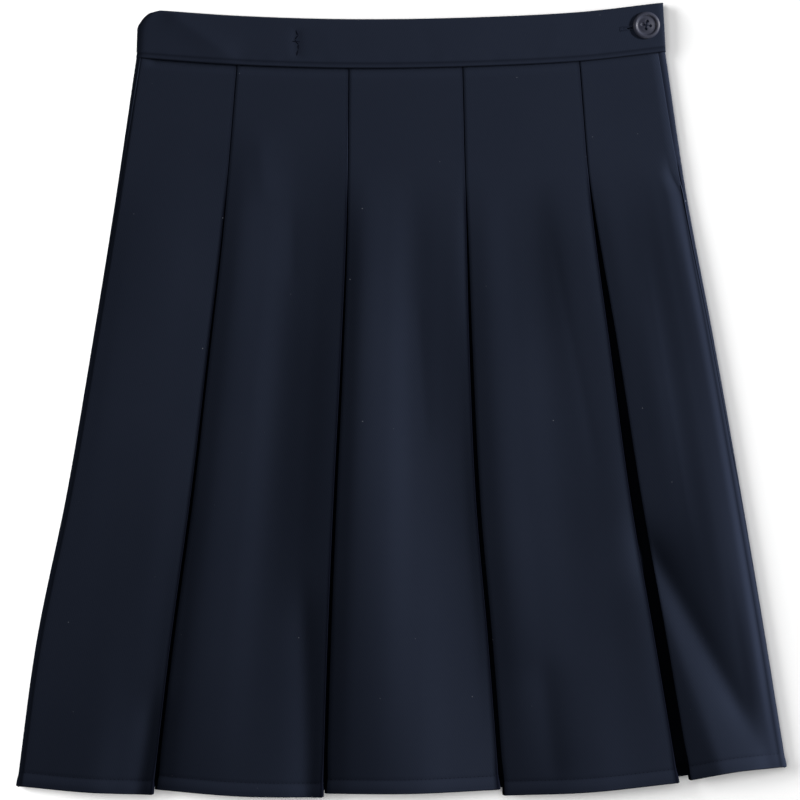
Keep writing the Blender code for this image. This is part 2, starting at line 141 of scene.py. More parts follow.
# How far each panel of the front stands above the flat stack: a row for each share down from
# the waist, with its heights at places from the panel's left fold (0) to its right fold (1)
ACROSS = (0, 0.15, 0.35, 0.55, 0.75, 0.92, 1)
Form = namedtuple("Form", "share left at_15 at_35 at_55 at_75 at_92 right")
FLAT = Form(0.14, 0, 0, 0, 0, 0, 0, 0)
FORMS = (
    (
        FLAT,
        Form(0.26, 0, 0.3, 0.5, 0.5, 0.3, 0.1, 0),
        Form(0.46, 0, 0.3, 0.4, 0.4, 0.3, 0.2, 0.1),
        Form(0.7, 0, 0.3, 0.7, 1.2, 1.7, 1.9, 2.1),
        Form(1.0, 0, 0.6, 1.5, 2.3, 2.5, 3.1, 3.8),
    ),
    (
        Form(0.07, 0, 0, 0, 0, 0, 0, 0),
        Form(0.26, 0, 0.7, 0.5, 0.1, 0.5, 1.2, 1.6),
        Form(0.46, 0, 1.0, 1.1, 0.6, 1.6, 2.9, 3.4),
        Form(0.7, 0, 1.2, 1.5, 1.3, 2.2, 3.4, 4.0),
        Form(1.0, 0, 1.3, 2.5, 3.2, 3.7, 4.0, 4.6),
    ),
    (
        FLAT,
        Form(0.26, 0, 0.8, 0.6, 0.1, 0.5, 0.8, 0.7),
        Form(0.46, 0.9, 1.8, 1.4, 0.2, 0.1, 0.5, 0.9),
        Form(0.7, 0.9, 2.1, 2.3, 1.2, 0.3, 0.1, 0.6),
        Form(1.0, 0.6, 2.0, 3.3, 3.5, 2.4, 1.5, 1.0),
    ),
    (
        FLAT,
        Form(0.26, 0, 0.5, 0.5, 0.8, 1.8, 2.2, 2.2),
        Form(0.46, 0, 0.9, 0.9, 0.7, 1.1, 1.5, 1.6),
        Form(0.7, 0, 1.2, 1.3, 1.4, 2.0, 2.7, 2.7),
        Form(1.0, 0, 1.5, 3.4, 4.2, 4.2, 4.3, 4.3),
    ),
    (
        FLAT,
        Form(0.26, 0, 0.4, 0.7, 1.1, 1.6, 1.6, 0),
        Form(0.46, 0.3, 0.8, 1.4, 1.5, 1.9, 1.7, 0),
        Form(0.7, 0.6, 1.2, 2.0, 2.8, 3.3, 2.6, 0),
        Form(0.86, 1.5, 2.1, 2.8, 3.1, 3.0, 2.6, 0),
        Form(1.0, 2.6, 3.3, 3.9, 4.0, 3.2, 1.4, 0),
    ),
)
TURN_FOLLOWS = 0.45  # share of that height that the turned layer has away from its fold
UNDER_FOLLOWS = 0.10  # and the underlay
SIDE_SLOPE = 0.15  # share of a side panel in which it comes down to the side

# Creases pressed or worn into the front: from, to, height of the ridge (or depth of the trough),
# how far its slopes reach to each side, and how soft its line is
Crease = namedtuple("Crease", "from_x from_y to_x to_y height reach soft")
CREASES = (
    Crease(124.8, -56.4, 209.8, -202.8, -1.9, 9.0, 3.5),  # drag line to the right panel's corner
    Crease(134.3, -78.9, 196.3, -253.6, 1.0, 11.0, 4.0),  # ridge beside it
    Crease(-56, -90, -50, -280, -1.0, 7.0, 2.5),  # where the second panel's right fold stands up
    Crease(-138, -155, -154, -270, -0.9, 6.0, 2.5),  # and the first panel's
    Crease(-61.5, 112, -61.5, 60, -0.16, 6.0, 0.3),  # marks of the folds beneath
    Crease(8.5, 62, 15, -30, -0.2, 7.0, 0.3),
    Crease(137, 92, 168, -92, 0.05, 1.3, 0.4),
    Crease(82, 104, 113, -50, -0.1, 2.5, 0.6),
    Crease(78, -140, 88, -225, -0.6, 8.0, 5.0),  # soft hollow near the fourth panel's hem
    Crease(-80, 152, -77, 108, 0.22, 6.0, 2.5),  # ridge by the end of the first pleat's stitches
)

# How closely the cloth is divided across
FACE_STEPS = {1: 38, -1: 12}  # front (1) and back (-1)
FOLD_STEPS = {1: 6, -1: 4}
TURN_PLACES = (0.08, 0.18, 0.32, 0.6)  # between the outer and the inner fold
UNDER_STEPS = 4
SIDE_STEPS = 9

# Sides: the back curls round them, up to a seam on the front
FULL_CURL = (FRONT_FACE - BACK_FACE) / 2  # radius of the middle of the curl's wall
LAPPED_CURL = (FRONT_TURN - BACK_FACE) / 2  # where the front laps over it
LEFT_CURL = ((0.0, FULL_CURL), (1.0, FULL_CURL))  # share down, radius
RIGHT_CURL = ((0.0, LAPPED_CURL), (0.17, LAPPED_CURL), (0.3, FULL_CURL), (1.0, FULL_CURL))
LEFT_SEAM = ((0.0, 60.0), (0.35, 30.0), (1.0, 10.0))  # share down, degrees up round the curl
RIGHT_SEAM = ((0.0, 74.0), (0.16, 74.0), (0.2, 58.0), (0.45, 40.0), (1.0, 15.0))
SEAM_LINE = 0.2  # between the edges of the front and the back at a side seam
SEAM_STRIP = 1.2  # least length of the front's curl from its seam
UNDERLAP = 6.0  # how far the back runs in under the front at the side opening
UNDERLAP_FOOT = 0.12  # the underlap ends here
LAP_FOOT = 0.16  # and the front's lap here
FOOT_LENGTH = 0.04  # share down in which either of them runs out
EDGE_STRIP = ((0.0, 4.2), (0.12, 3.2), (0.16, 2.5))  # strip of the back that shows beside the lap
LAP_WIDTH = 5.0  # of the front's edge there
LAP_DROOP = 0.35  # how far that edge comes down

# Painted shade, from 0 to 1, which darkens the cloth's colour: on the folds and the layers of the
# pleats and along the stitches, where shade falls, and on the right side's curl, which would show
# too bright in the low light. A cloth's own value is for its right side, where the painted shade
# begins at a share of the way across the panel.
PAINTED_SHADE_SEWN = 0.65  # folds of a pleat where it is sewn shut, and 1 where it is open
PAINTED_SHADE_INSIDE = 0.5  # layers in a pleat
PAINTED_SHADE_HEM = 0.15  # at the hem's stitches, over this height
PAINTED_SHADE_HEM_WIDTH = 0.7
PAINTED_SHADE_FROM = 0.78
PAINTED_SHADE_OVER = 0.18
OPENING_FROM = SEWN_SHARE - 0.03  # share down from which a pleat's folds open
OPENING_LENGTH = 0.07
BAND_SHADE_STITCH = 0.55  # the waistband, along its stitches
BAND_SHADE_WIDTH = 0.6
BAND_SHADE_EDGE = 0.8  # and from its lower edge up
BAND_SHADE_HEIGHT = 0.9

# Waistband
BAND_HEIGHT = 27.8
BAND_WALL = 2.2
BAND_HALF = BAND_WALL / 2
BAND_LEAN = 6.0  # how far its left fold leans in at the top
BAND_LEAN_DEPTH = 12.0  # the lean begins this far below the top
BAND_LEAN_REACH = 26.0  # and fades out this far from the left fold
BAND_CORNER = 1.6  # how far its top comes down at the left fold
BAND_CORNER_REACH = 7.0
BAND_BACK = BAND_HALF  # heights of its middle
BAND_UNDERLAP = FRONT_FACE + 0.1 - BAND_WALL - SEAM_GAP
BAND_FRONT = FRONT_FACE + 0.1
BAND_UNDERLAP_LENGTH = 33.0
BAND_STEP = 2.2  # between its sections
BAND_TURN_STEPS = 12
BAND_LEVELS = 28  # steps up its outside
BAND_END = (0.0, 0.2, 0.5, 0.9, 1.5)  # sections at its two rounded ends
EDGE_STITCH = 2.6  # height of its row of stitches above its lower edge
EDGE_STITCH_STEP = 2.4
EDGE_STITCH_LENGTH = 1.9
EDGE_STITCH_RADIUS = 0.16
EDGE_GROOVE = 0.35  # depth of the groove that they pull
EDGE_GROOVE_WIDTH = 0.55
PUCKERS = 0.03  # height of the puckers above them
PUCKERS_UP = 1.5
PUCKERS_WIDTH = 3.0
# Its creases, in places across and distances up from the waist seam
BAND_CREASES = (
    Crease(-140, 31, -90, 1, 1.0, 6.0, 3.0),
    Crease(-59.8, 24, -58.8, 3, -0.6, 1.6, 0.7),
    Crease(-45, 26, -40, 6, 0.12, 6.0, 2.0),
    Crease(10, 27, 20, 4, -0.15, 6.0, 2.0),
    Crease(92, 27, 84, 4, 0.15, 7.0, 2.0),
)
# Its tack: a crooked line of thread down and a short one across it, and their radii
TACK = ((-60.2, 21), (-58.6, 18), (-60.6, 15.5), (-58.4, 13), (-58.2, 10), (-59.2, 6.5))
TACK_ACROSS = ((-62.2, 14.5), (-57.2, 14.5))
TACK_RADII = (0.4, 0.3)

# Button with four holes, and its buttonhole
BUTTON_PLACE = (137.9, 210.8)
BUTTON_BOTTOM = BAND_FRONT + BAND_HALF + SEAM_GAP
BUTTON_RADIUS = 7.6
BUTTON_THICKNESS = 2.8
# Its profile, as (radius, height): the back, the rim, the step down inside it and the domed middle
BUTTON_PROFILE = (
    *((0, 0), (6.4, 0), (7.0, 0.15), (7.4, 0.5), (BUTTON_RADIUS, 1.0), (BUTTON_RADIUS, 1.7)),
    *((7.45, 2.2), (7.15, 2.55), (6.7, 2.77), (6.3, BUTTON_THICKNESS), (5.9, 2.78)),
    *((5.65, 2.65), (5.45, 2.2), (5.2, 1.93), (4.8, 1.86)),
    *((3.8, 2.02), (2.6, 2.22), (1.3, 2.36), (0, 2.4)),
)
BUTTON_HOLE_RADIUS = 0.85
BUTTON_HOLE_CIRCLE = 2.2
BUTTON_DRILLS = (  # radius at the bottom and at the top, depth, and height of the middle
    (BUTTON_HOLE_RADIUS, BUTTON_HOLE_RADIUS, 8.0, 0.0),
    (BUTTON_HOLE_RADIUS * 0.9, BUTTON_HOLE_RADIUS * 1.5, 0.6, BUTTON_THICKNESS - 0.6),
)
BUTTON_TURN = math.radians(-10)
BUTTONHOLE = (122.8, 140.6)  # places across of its two ends
BUTTONHOLE_SLIT = (126.8, 139.4)  # and of the slit between its stitches
SLIT_WIDTH = 0.5
BUTTONHOLE_Y = 209.6
BUTTONHOLE_SLOPE = math.radians(6)


def curve_through(points):
    """The smooth curve through (place, value) points, as a function of the place."""
    places = [place for place, _ in points]
    values = [value for _, value in points]
    last = len(points) - 1
    slopes = []
    for i in range(len(points)):
        low, high = max(i - 1, 0), min(i + 1, last)
        slopes.append((values[high] - values[low]) / (places[high] - places[low]))

    def at(place):
        place = min(max(place, places[0]), places[-1])
        i = min(sum(place >= p for p in places[1:]), last - 1)
        step = places[i + 1] - places[i]
        t = (place - places[i]) / step
        start = values[i] * (1 + 2 * t) * (1 - t) ** 2 + slopes[i] * step * t * (1 - t) ** 2
        end = values[i + 1] * (3 - 2 * t) * t**2 - slopes[i + 1] * step * (1 - t) * t**2
        return start + end

    return at


LINES = [
    lru_cache(None)(curve_through([(row.share, row[column]) for row in SECTIONS]))
    for column in range(1, 7)
]
SEAM_HEIGHT = curve_through(WAIST_SEAM)
SEAM_ANGLE = {-1: curve_through(LEFT_SEAM), 1: curve_through(RIGHT_SEAM)}
STRIP = curve_through(EDGE_STRIP)
CURL = {
    -1: lru_cache(None)(curve_through(LEFT_CURL)),
    1: lru_cache(None)(curve_through(RIGHT_CURL)),
}


def ease(t):
    """0 below 0, 1 above 1, and a soft step between."""
    t = min(max(t, 0.0), 1.0)
    return t * t * (3 - 2 * t)


def bell(place, middle, width):
    """1 at the middle, falling off softly to both sides."""
    return math.exp(-(((place - middle) / width) ** 2))


def between(start, end, t):
    """The point a share t of the way from start to end."""
    return tuple(a + (b - a) * t for a, b in zip(start, end))


def distances(line):
    """How far along a line each of its points is."""
    travelled = [0.0]
    for first, second in zip(line, line[1:]):
        travelled.append(travelled[-1] + math.dist(first, second))
    return travelled


def crease_height(creases, x, y):
    """How far the creases lift a point of flat cloth."""
    total = 0.0
    for crease in creases:
        along = (crease.to_x - crease.from_x, crease.to_y - crease.from_y)
        length = math.hypot(*along)
        away = (x - crease.from_x, y - crease.from_y)
        t = (away[0] * along[0] + away[1] * along[1]) / length**2
        if not 0 < t < 1:
            continue
        aside = (away[0] * along[1] - away[1] * along[0]) / length
        if abs(aside) > 6 * crease.reach:
            continue
        slope = math.exp((crease.soft - math.hypot(aside, crease.soft)) / crease.reach)
        total += crease.height * slope * ease(t * 4) * ease((1 - t) * 4)
    return total


def pleat_gap(pleat, share):
    """Distance between the two folds of a pleat."""
    open_share = max(0.0, (share - SEWN_SHARE) / (1 - SEWN_SHARE))
    return SEWN_GAP + (pleat.gap - SEWN_GAP) * (1 - (1 - open_share) ** 3)


def pleat_folds(index, share):
    """Places across of the left and the right fold of a pleat."""
    left = LINES[index + 1](share)
    return left, left + pleat_gap(PLEATS[index], share)


@lru_cache(None)
def form_across(panel, share):
    """A panel's height above the flat stack, as a function of the place across it."""
    columns = [[(row.share, row[i]) for row in FORMS[panel]] for i in range(1, len(ACROSS) + 1)]
    return curve_through([(x, curve_through(column)(share)) for x, column in zip(ACROSS, columns)])


@lru_cache(None)
def hem_of(panel, across):
    """How far up a panel's hem lies, across it from 0 to 1."""
    return curve_through(list(zip((0, 0.5, 1), HEMS[panel])))(across)


def rise(panel, across, share):
    """How far a panel of the front stands above the flat stack, with its creases."""
    left = pleat_folds(panel - 1, share)[1] if panel else LINES[0](share)
    right = pleat_folds(panel, share)[0] if panel < PANELS - 1 else LINES[5](share)
    place = left + (right - left) * across
    top = SEAM_HEIGHT(place)
    up = top + (hem_of(panel, across) - top) * share
    return form_across(panel, share)(across) + crease_height(CREASES, place, up)


def side_curl(side, share, along):
    """Place across and height of the outer face of a side's curl, from the table up and in.

    The distance along it is measured on the middle of the solid's wall."""
    radius = CURL[side](share)
    outer = radius + HALF
    middle = LINES[0 if side < 0 else 5](share) - side * outer
    if along > math.pi * radius:
        return middle - side * (along - math.pi * radius), 2 * outer
    angle = along / radius - math.pi / 2
    return middle + side * outer * math.cos(angle), outer + outer * math.sin(angle)


def back_curl_length(side, share):
    """How far along a side's curl the back reaches."""
    radius = CURL[side](share)
    seam = radius * (math.pi / 2 + math.radians(SEAM_ANGLE[side](share)))
    if side < 0:
        return seam
    lapped = math.pi * radius + UNDERLAP
    return lapped + (seam - lapped) * ease((share - UNDERLAP_FOOT) / FOOT_LENGTH)


def back_side(side, share):
    """The back's points round one side, from the table up."""
    length = back_curl_length(side, share)
    return [side_curl(side, share, length * i / SIDE_STEPS) for i in range(SIDE_STEPS + 1)]


def front_side(side, share):
    """The front's points at one side, from its panel out to its edge."""
    end = back_curl_length(side, share) + SEAM_LINE
    start = max(math.pi * CURL[side](share), end + SEAM_STRIP)
    away = [i / SIDE_STEPS for i in range(SIDE_STEPS + 1)]
    seamed = [side_curl(side, share, start + (end - start) * t) for t in away]
    if side < 0 or share > LAP_FOOT + FOOT_LENGTH:
        return seamed
    edge = LINES[5](share) - STRIP(share)
    height = face_height(FRONT, share)
    lapped = [(edge - LAP_WIDTH * (1 - t), height - LAP_DROOP * t**2) for t in away]
    run_out = ease((share - LAP_FOOT) / FOOT_LENGTH)
    return [between(flat, curled, run_out) for flat, curled in zip(lapped, seamed)]


def fold(edge, side, from_height, to_height, radius, steps):
    """Points of a fold whose outside reaches edge, bulging towards side (1 right, -1 left)."""
    centre = edge - side * radius
    middle, reach = (from_height + to_height) / 2, (from_height - to_height) / 2
    angles = [math.pi * i / steps for i in range(steps + 1)]
    return [(centre + side * radius * math.sin(a), middle + reach * math.cos(a)) for a in angles]


def fold_radius(share):
    """Radius of the folds that show, which are fuller where the hem is turned up in them."""
    full = ease((share * LENGTH - LENGTH + HEM_DEPTH + FULLER_ABOVE) / FULLER_ABOVE)
    return FOLD_RADIUS + (HEM_FOLD_RADIUS - FOLD_RADIUS) * full


# Heights of the right side of the cloth's layers; out is 1 where it is up on the face, as on the
# front, and -1 on the back
# The last value is the painted shade on the right side's curl.
Cloth = namedtuple("Cloth", "face turn under out rises dip side_points right_pressed")
FRONT = Cloth(
    FRONT_FACE + HALF, FRONT_TURN - HALF, FRONT_UNDER + HALF, 1, 1, 0.7, front_side, 0.45
)
BACK = Cloth(BACK_FACE - HALF, BACK_TURN + HALF, BACK_UNDER - HALF, -1, 0, 1.15, back_side, 0.65)


def face_height(cloth, share):
    """Height of a face where it lies flat, dipping into the waist seam."""
    return cloth.face - cloth.out * cloth.dip * ease(1 - share * LENGTH / WAIST_DIP)


def face_ends(cloth, panel, share):
    """Where a panel's face starts and ends, as (place across, height), before it rises."""
    face = face_height(cloth, share)
    if panel == 0:
        start = cloth.side_points(-1, share)[0]
    else:
        start = (pleat_folds(panel - 1, share)[1] + fold_radius(share), face)
    if panel == PANELS - 1:
        end = cloth.side_points(1, share)[0]
    else:
        end = (pleat_folds(panel, share)[0] - fold_radius(share), face)
    return start, end


def face_points(cloth, panel, share):
    """The points of a panel's face between its ends, as (place across, height, hem)."""
    (left, left_height), (right, right_height) = face_ends(cloth, panel, share)
    steps = FACE_STEPS[cloth.out]
    points = []
    for i in range(1, steps):
        across = i / steps
        if panel == 0:
            blend = ease(across / SIDE_SLOPE)
        elif panel == PANELS - 1:
            blend = ease((across - 1 + SIDE_SLOPE) / SIDE_SLOPE)
        else:
            blend = across
        height = left_height + (right_height - left_height) * blend
        if cloth.rises:
            height += rise(panel, across, share)
        points.append((left + (right - left) * across, height, hem_of(panel, across)))
    return points


def pleat_points(cloth, index, share):
    """The cloth's outer face through one pleat, as (place across, height, hem)."""
    pleat = PLEATS[index]
    left_edge, right_edge = pleat_folds(index, share)
    left_depth = pleat.left_waist + (pleat.left_hem - pleat.left_waist) * share
    right_depth = pleat.right_waist + (pleat.right_hem - pleat.right_waist) * share
    face = face_height(cloth, share)
    steps = FOLD_STEPS[cloth.out]

    def side_of(side, panel, edge, depth):
        (left, _), (right, _) = face_ends(cloth, panel, share)

        def across(place):
            return min(max((place - left) / (right - left), 0), 1)

        def lift(place, follows):
            return follows * rise(panel, across(place), share) if cloth.rises else 0.0

        inner = edge - side * (depth - CLOTH)
        top = face + lift(edge, 1)
        bottom = top - cloth.out * 2 * fold_radius(share)
        hem = HEMS[panel].right if side > 0 else HEMS[panel].left
        inner_hem = hem_of(panel, across(inner)) + UNDERLAY_SHORTER
        outer_fold = fold(edge, side, top, bottom, fold_radius(share), steps)
        turn = cloth.turn + lift(inner, TURN_FOLLOWS)
        under = cloth.under + lift(inner, UNDER_FOLLOWS)
        inner_fold = fold(inner, -side, turn, under, INNER_FOLD_RADIUS, steps)
        points = [(*point, hem) for point in outer_fold]
        run = points[-1], (*inner_fold[0], inner_hem)
        for away in TURN_PLACES:
            place, _, hem_here = between(*run, away)
            settled = cloth.turn + lift(place, TURN_FOLLOWS)
            height = settled + (bottom - settled) * (1 - ease(abs(place - edge) / FOLD_SETTLE))
            points.append((place, height, hem_here))
        return points + [(*point, inner_hem) for point in inner_fold]

    going_under = side_of(1, index, left_edge, left_depth)
    coming_up = side_of(-1, index + 1, right_edge, right_depth)[::-1]
    hem = (HEMS[index].right + HEMS[index + 1].left) / 2 + UNDERLAY_SHORTER
    middle = ((left_edge + right_edge) / 2, cloth.under, hem)
    under = [between(going_under[-1], middle, i / UNDER_STEPS) for i in range(1, UNDER_STEPS + 1)]
    under += [between(middle, coming_up[0], i / UNDER_STEPS) for i in range(1, UNDER_STEPS)]
    return going_under + under + coming_up


def section(cloth, share):
    """The cloth's outer face across the whole skirt, the index of each panel's middle, and the
    painted shade of each point."""
    left_side, right_side = cloth.side_points(-1, share), cloth.side_points(1, share)
    points = [(*point, HEMS[0].left) for point in reversed(left_side)]
    middles, pressed = [], [0.0] * len(points)
    # painted shade on the pleats' folds, lighter where they are sewn shut, and on the layers
    # inside them
    sewn = 1 - ease((share - OPENING_FROM) / OPENING_LENGTH)
    fold_shade = 1 + (PAINTED_SHADE_SEWN - 1) * sewn
    for panel in range(PANELS):
        middles.append(len(points) + FACE_STEPS[cloth.out] // 2)
        points += face_points(cloth, panel, share)
        if panel < len(PLEATS):
            pleat = pleat_points(cloth, panel, share)
            folded = FOLD_STEPS[cloth.out] + 1
            pressed += [0.0] * (len(points) - len(pressed)) + [fold_shade] * folded
            pressed += [PAINTED_SHADE_INSIDE] * (len(pleat) - 2 * folded)
            pressed += [fold_shade] * (folded - 1) + [0.0]
            points += pleat
    # painted shade on the right side's curl, which catches too much of the low light
    curled = ease((share - LAP_FOOT) / FOOT_LENGTH) if cloth.out > 0 else 1.0
    side_shade = cloth.right_pressed * curled
    steps = len(points) - len(pressed)
    for i in range(steps):
        pressed.append(side_shade * ease((i / steps - PAINTED_SHADE_FROM) / PAINTED_SHADE_OVER))
    pressed += [side_shade] * (len(right_side) - 1) + [cloth.right_pressed]
    return points + [(*point, HEMS[-1].right) for point in right_side], middles, pressed


def outward_steps(line, out):
    """For each point of a line across, the (across, up) direction out of the cloth."""
    sides = []
    for first, second in zip(line, line[1:]):
        along = (Vector(second) - Vector(first)).normalized()
        sides.append(Vector((-along.y, along.x)) * out)
    steps = []
    for before, after in zip(sides[:1] + sides, sides + sides[-1:]):
        normal = (before + after).normalized()
        steps.append(normal / max(normal.dot(before), 0.5))
    return steps


Row = namedtuple("Row", "down inward")


def cloth_rows():
    """The rows of a cloth from the waistband down to the hem, round it and up its turned edge."""
    downs = [-SEAM_TUCK] + [1.5 * i for i in range(4)]
    stitched = LENGTH - HEM_DEPTH - 4
    downs += [6 + (stitched - 6) * i / 94 for i in range(95)]
    downs += [stitched + i for i in range(1, 14)]
    rows = [Row(down, 0.0) for down in downs if down < LENGTH - HEM_RADIUS]
    for i in range(7):
        angle = math.pi * i / 6
        down = LENGTH - HEM_RADIUS * (1 - math.sin(angle))
        rows.append(Row(down, HEM_RADIUS * (1 - math.cos(angle))))
    rows += [Row(LENGTH - HEM_RADIUS - HEM_DEPTH * i / 3, 2 * HEM_RADIUS) for i in (1, 2, 3)]
    return rows


def hem_relief(row):
    """How the stitches and the turned-up edge inside shape the cloth near the hem."""
    above = LENGTH - row.down
    edge = HEM_EDGE * ease((HEM_DEPTH + HEM_EDGE_SLOPE / 2 - above) / HEM_EDGE_SLOPE)
    swell = HEM_SWELL * ease((HEM_STITCH - above) / HEM_SWELL_SLOPE)
    return edge + swell - HEM_DENT * bell(above, HEM_STITCH, HEM_DENT_WIDTH)


def turned_edge(surface, steps, radius, length):
    """The cloth turned in at the first point of a line: its way back inside and its rounded edge,
    and where the line starts then."""
    edge = Vector(surface[0])
    along = (edge - Vector(surface[1])).normalized()
    inward = -steps[0].normalized()
    centre = edge + inward * radius - along * radius
    turn = []
    for i in range(1, EDGE_TURN_POINTS + 1):
        angle = math.pi * i / EDGE_TURN_POINTS
        turn.append(centre + along * radius * math.sin(angle) - inward * radius * math.cos(angle))
    back = []
    for i in range(1, EDGE_BACK_POINTS + 1):
        deep = Vector(surface[i]) - steps[i].normalized() * 2 * radius
        back.append(turn[-1].lerp(deep, length))
    return [tuple(point) for point in back[::-1] + turn[::-1]], tuple(edge - along * radius)


@lru_cache(None)
def seam_heights(cloth):
    """How far up the waist seam is above each point of a cloth's outer face."""
    return [SEAM_HEIGHT(place) for place, _, _ in section(cloth, 0.0)[0]]


def surface_row(cloth, row):
    """One row of the cloth's outer face as (place, up, height), with each point's place on the
    cut and its painted shade."""
    share = row.down / LENGTH
    points, middles, pressed = section(cloth, max(share, 0.0))
    line = [(place, height) for place, height, _ in points]
    steps = outward_steps(line, cloth.out)
    outward = -row.inward + cloth.rises * hem_relief(row) * (row.inward == 0)
    surface = [(x + outward * step.x, z + outward * step.y) for (x, z), step in zip(line, steps)]
    tops = seam_heights(cloth)
    ups = [top + (hem - top) * share for top, (_, _, hem) in zip(tops, points)]

    # at the hem's turned-up edge the sides have no room for another layer
    radius = EDGE_RADIUS * (1 - 0.9 * row.inward / (2 * HEM_RADIUS))
    length = 0.1 + 0.9 * ease((LENGTH - row.down - HEM_DEPTH) / 10)
    left, surface[0] = turned_edge(surface, steps, radius, length)
    right, surface[-1] = turned_edge(surface[::-1], steps[::-1], radius, length)
    surface = left + surface + right[::-1]
    ups = ups[:1] * len(left) + ups + ups[-1:] * len(right)
    middles = [len(left) + middle for middle in middles]

    # along the cut, measured from the middle of each panel, where the grain runs straight down
    travelled = distances(surface)
    cuts = []
    for i, distance in enumerate(travelled):
        panel = min(range(PANELS), key=lambda p: abs(middles[p] - i))
        cuts.append((250 * panel + distance - travelled[middles[panel]], -row.down))
    # painted shade in the dent of the hem's stitches
    stitched = PAINTED_SHADE_HEM * bell(LENGTH - row.down, HEM_STITCH, PAINTED_SHADE_HEM_WIDTH)
    pressed = pressed[:1] * len(left) + pressed + pressed[-1:] * len(right)
    pressed = [max(each, stitched) for each in pressed]
    return [(place, up, height) for (place, height), up in zip(surface, ups)], cuts, pressed


def add_node(tree, kind, inputs=None, **settings):
    """Adds a shader node, with its settings and with its inputs set or linked."""
    node = tree.nodes.new("ShaderNode" + kind)
    for name, value in settings.items():
        setattr(node, name, value)
    for socket, value in (inputs or {}).items():
        if isinstance(value, bpy.types.NodeSocket):
            tree.links.new(value, node.inputs[socket])
        else:
            node.inputs[socket].default_value = value
    return node


def linear(hex_colour):
    """A linear colour from an sRGB hex value."""
    channels = [int(hex_colour[i : i + 2], 16) / 255 for i in (1, 3, 5)]
    return (*[c / 12.92 if c <= 0.04045 else ((c + 0.055) / 1.055) ** 2.4 for c in channels], 1.0)


def new_material(name, **shader_values):
    """A material with its shader's values set, its node tree and the shader."""
    made = bpy.data.materials.new(name)
    made.use_nodes = True
    shader = made.node_tree.nodes["Principled BSDF"]
    for socket, value in shader_values.items():
        shader.inputs[socket.replace("_", " ")].default_value = value
    return made, made.node_tree, shader


def gabardine():
    """Polyester and wool gabardine, a dense steep twill: matt, very dark navy, with a faint sheen
    where it turns away and fine diagonal ribs that barely show."""
    made, tree, shader = new_material(
        "navy_gabardine",
        Roughness=0.6,
        Sheen_Weight=0.06,
        Sheen_Roughness=0.5,
        Sheen_Tint=linear("#a1b1d2"),
        Specular_IOR_Level=0.0,
    )
    cut = add_node(tree, "UVMap", uv_map="cut").outputs["UV"]
    # The ribs of a gabardine are 0.5 mm apart and climb at 63 degrees. They are drawn 1.2 mm
    # apart, as finer ones would fall between the pixels.
    turned = add_node(
        tree, "Mapping", {"Vector": cut, "Rotation": (0, 0, math.radians(-27))}
    ).outputs["Vector"]
    ribs = add_node(
        tree,
        "TexWave",
        {"Vector": turned, "Scale": math.tau / 20 / (1.2 * MM), "Distortion": 0.6, "Detail": 1.0},
    ).outputs["Fac"]
    # yarns: slubs some 0.8 mm wide and 5 mm long down the cloth
    long_yarns = add_node(
        tree, "Mapping", {"Vector": cut, "Scale": (1, 0.16, 1)}
    ).outputs["Vector"]
    yarns = add_node(
        tree, "TexNoise", {"Vector": long_yarns, "Scale": 1 / (0.8 * MM), "Detail": 2.0}
    ).outputs["Fac"]
    # cloudy differences some 60 mm across, from pressing and handling
    clouds = add_node(
        tree, "TexNoise", {"Vector": cut, "Scale": 1 / (60 * MM), "Detail": 2.0}
    ).outputs["Fac"]
    woven = add_node(
        tree, "Math", {0: yarns, 1: 0.8, 2: ribs}, operation="MULTIPLY_ADD"
    ).outputs[0]
    shade = add_node(
        tree, "Math", {0: clouds, 1: 1.2, 2: woven}, operation="MULTIPLY_ADD"
    ).outputs[0]
    shade = add_node(
        tree, "MapRange", {"Value": shade, "From Min": 0.6, "From Max": 2.4}
    ).outputs["Result"]
    # specks of lint 0.5 mm wide, one in each 40 mm, of differing strength
    speck = add_node(
        tree, "TexVoronoi", {"Vector": cut, "Scale": 1 / (40 * MM)}, voronoi_dimensions="2D"
    ).outputs
    small = add_node(
        tree, "Math", {0: speck["Distance"], 1: 0.28 / 40}, operation="LESS_THAN"
    ).outputs[0]
    strength = add_node(tree, "Math", {0: speck["Color"], 1: 6.0}, operation="POWER").outputs[0]
    lint = add_node(tree, "Math", {0: small, 1: strength}, operation="MULTIPLY").outputs[0]
    # painted shade: the pleats' folds and the layers in them, the stitch lines, the waistband's
    # lower edge and the right side's curl are darkened towards this near-black colour
    pressed = add_node(tree, "Attribute", attribute_name="pressed").outputs["Fac"]
    colour = linear("#272d3c")
    for amount, over in ((shade, "#2d3342"), (pressed, "#0a0c15"), (lint, "#b9bcc6")):
        colour = add_node(
            tree,
            "Mix",
            {"Factor": amount, "A": colour, "B": linear(over)},
            data_type="RGBA",
        ).outputs["Result"]
    tree.links.new(colour, shader.inputs["Base Color"])
    bump = add_node(
        tree, "Bump", {"Height": woven, "Strength": 0.08, "Distance": 0.05 * MM}
    ).outputs["Normal"]
    tree.links.new(bump, shader.inputs["Normal"])
    return made


def button_resin():
    """Cast polyester resin, turned and tumbled: satin, blue-grey navy with faint cloudy swirls."""
    made, tree, shader = new_material("navy_polyester_resin", Roughness=0.45, IOR=1.5)
    place = add_node(tree, "TexCoord").outputs["Object"]
    # swirls some 3 mm across
    swirls = add_node(
        tree,
        "TexNoise",
        {"Vector": place, "Scale": 1 / (3 * MM), "Detail": 3.0, "Distortion": 1.2},
    ).outputs["Fac"]
    colour = add_node(
        tree,
        "Mix",
        {"Factor": swirls, "A": linear("#343646"), "B": linear("#454858")},
        data_type="RGBA",
    )
    tree.links.new(colour.outputs["Result"], shader.inputs["Base Color"])
    # tumbling leaves fine marks some 0.3 mm apart
    marks = add_node(tree, "TexNoise", {"Vector": place, "Scale": 1 / (0.3 * MM)}).outputs["Fac"]
    bump = add_node(
        tree, "Bump", {"Height": marks, "Strength": 0.08, "Distance": 0.03 * MM}
    ).outputs["Normal"]
    tree.links.new(bump, shader.inputs["Normal"])
    return made


